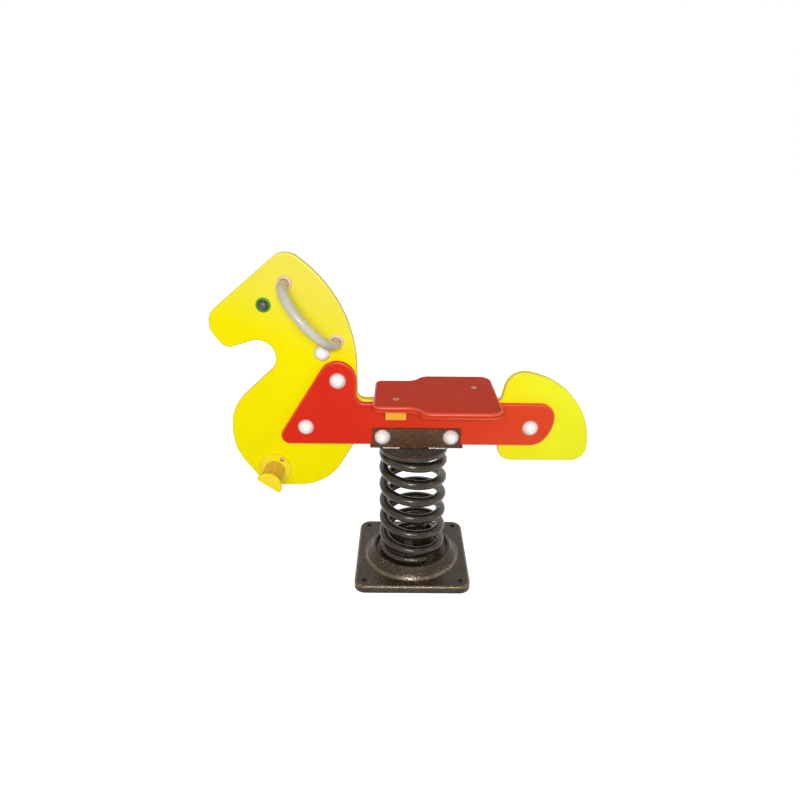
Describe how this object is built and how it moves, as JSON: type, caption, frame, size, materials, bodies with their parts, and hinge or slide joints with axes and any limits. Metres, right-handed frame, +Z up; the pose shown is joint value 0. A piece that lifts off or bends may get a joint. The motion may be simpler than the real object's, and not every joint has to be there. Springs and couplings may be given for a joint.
{
  "type": "spring rider",
  "caption": "Children's spring rider: bolted plastic horse with seat, hand grips and footrests on a coil spring that rocks above a square domed ground plate.",
  "frame": {"origin": "on the ground at the spring's axis, in the middle of the base's anchor holes", "axes": "+Z up along the spring; +X from the head towards the tail; +Y from the near side to the far side"},
  "size_m": [0.9345, 0.3, 0.8329],
  "materials": {
    "base_coat": "dark hammered coating over a cast base",
    "clamp_coat": "dark coating over clamps and their bolts",
    "spring_coat": "dark satin coating on spring steel",
    "saddle_coat": "brown hammered coating",
    "yellow_sheet": "polyethylene sheet, fine grain",
    "red_sheet": "polyethylene sheet, fine grain",
    "block_plastic": "moulded plastic",
    "handle_plastic": "moulded grey plastic",
    "rosette_plastic": "moulded beige plastic",
    "footrest_plastic": "moulded yellow plastic with a rough tread",
    "eye_green": "glossy moulded plastic",
    "eye_dark": "glossy moulded plastic",
    "cap_white": "glossy moulded plastic",
    "fastener_steel": "zinc plated steel"
  },
  "bodies": {
    "base": {"base_plate": "base_coat", "lower_clamps": "clamp_coat", "lower_clamp_bolts": "clamp_coat", "lower_clamp_nuts": "clamp_coat"},
    "spring": {"spring": "spring_coat"},
    "rider": {"spring_top_plate": "saddle_coat", "upper_clamps": "clamp_coat", "upper_clamp_bolts": "clamp_coat", "saddle": "saddle_coat", "head_sheet": "yellow_sheet", "tail_sheet": "yellow_sheet", "near_side_plate": "red_sheet", "far_side_plate": "red_sheet", "seat": "red_sheet", "seat_blocks": "block_plastic", "seat_screws": "fastener_steel", "block_screws": "fastener_steel", "near_handle": "handle_plastic", "far_handle": "handle_plastic", "near_rosettes": "rosette_plastic", "far_rosettes": "rosette_plastic", "handle_studs": "fastener_steel", "near_footrest": "footrest_plastic", "far_footrest": "footrest_plastic", "footrest_screws": "fastener_steel", "eye_rims": "eye_green", "eye_pupils": "eye_dark", "through_bolts": "fastener_steel", "through_nuts": "fastener_steel", "cap_bases": "cap_white", "near_caps": "cap_white", "far_caps": "cap_white"}
  },
  "joints": [
    {"name": "sway", "type": "hinge", "parent": "base", "child": "spring", "pos_m": [0, 0, 0.1883], "axis": [1, 0, 0], "range_deg": [-12, 12], "stiffness_Nm_per_rad": 1180, "springref_deg": 0.01, "deforming": ["spring"]},
    {"name": "rock", "type": "hinge", "parent": "spring", "child": "rider", "pos_m": [0, 0, 0.1883], "axis": [0, 1, 0], "range_deg": [-20, 20], "stiffness_Nm_per_rad": 1180, "springref_deg": 0.36, "deforming": ["spring"]}
  ]
}
